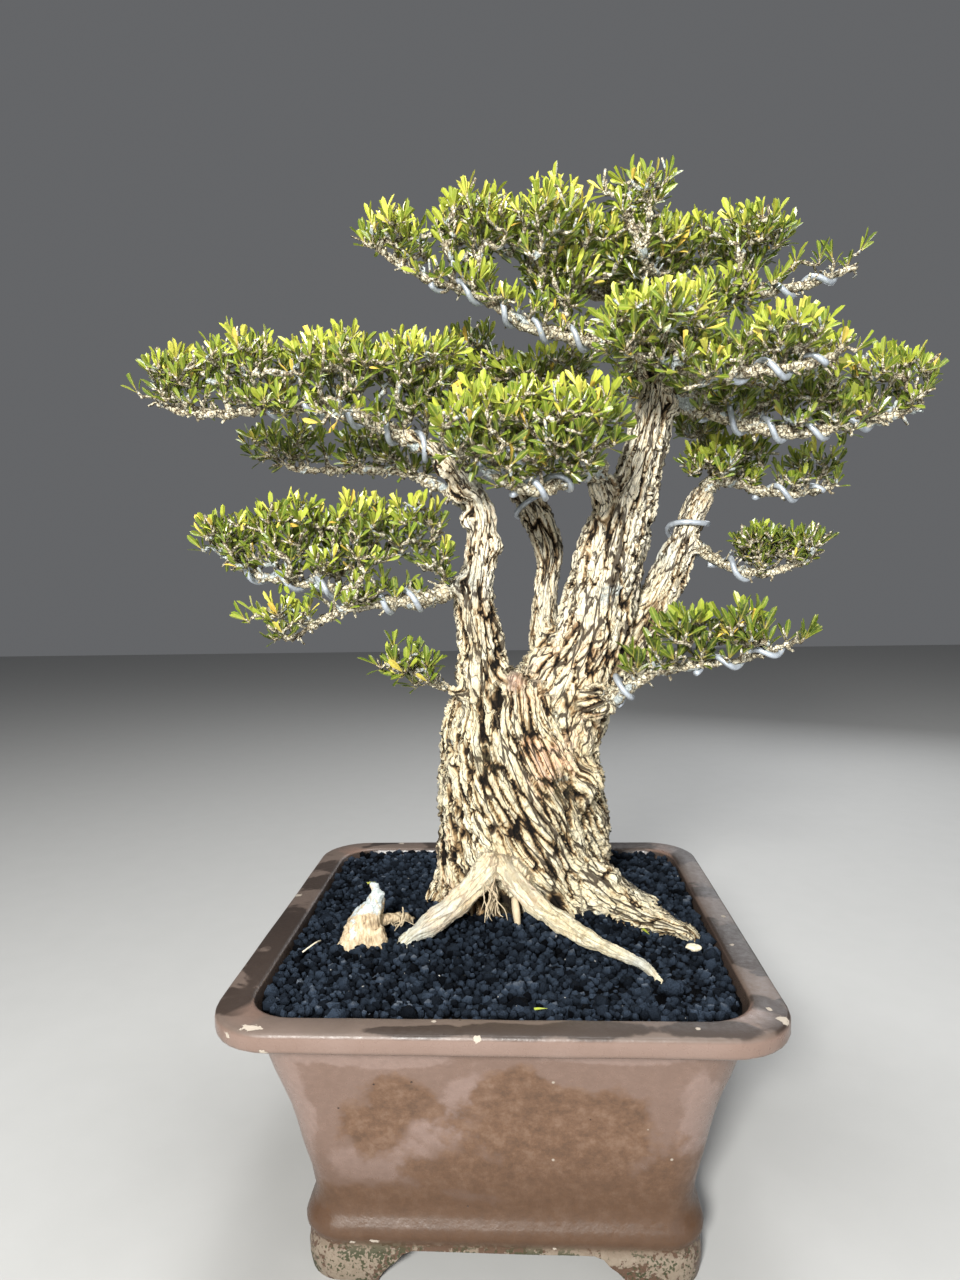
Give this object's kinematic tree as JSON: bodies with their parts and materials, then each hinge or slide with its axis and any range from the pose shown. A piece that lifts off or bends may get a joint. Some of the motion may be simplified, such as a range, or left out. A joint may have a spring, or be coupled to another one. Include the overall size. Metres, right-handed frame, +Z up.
{
  "type": "bonsai tree in a pot",
  "caption": "Old boxwood bonsai with a thick fissured trunk, wired branches and leafy pads, growing in a square footed stoneware pot of lava grit.",
  "frame": {"origin": "on the surface that the pot's feet rest on, under the middle of the whole object", "axes": "+Z up, -Y towards the viewer of the picture (the pot's front face), +X to the viewer's right; metres"},
  "size_m": [0.4803, 0.3, 0.6456],
  "materials": {
    "stoneware": "unglazed fired clay with a satin sheen",
    "lava_soil": "matt, rough dark grains",
    "bark": "matt, corky and deeply fissured",
    "weathered_wood": "matt, grey and lichen-covered",
    "foliage": "leathery leaves with a soft sheen on woody twigs",
    "training_wire": "dull annealed wire",
    "drain_plastic": "matt"
  },
  "bodies": {
    "root": {"dead_root": "weathered_wood", "drain_mesh_left": "drain_plastic", "drain_mesh_right": "drain_plastic", "pot": "stoneware", "soil": "lava_soil", "spray_apex": "foliage", "spray_centre": "foliage", "spray_left_rear": "foliage", "spray_long_left": "foliage", "spray_low_left": "foliage", "spray_low_right": "foliage", "spray_low_shoot": "foliage", "spray_rear": "foliage", "spray_rear_top": "foliage", "spray_right": "foliage", "spray_right_low": "foliage", "spray_right_middle": "foliage", "spray_top_left": "foliage", "spray_top_right": "foliage", "spray_upper_right": "foliage", "trunk": "bark", "wire_centre": "training_wire", "wire_long_left": "training_wire", "wire_low_left": "training_wire", "wire_low_right": "training_wire", "wire_right": "training_wire", "wire_right_low": "training_wire", "wire_right_middle": "training_wire", "wire_top_left": "training_wire", "wire_top_right": "training_wire", "wire_upper_right": "training_wire"}
  },
  "joints": []
}
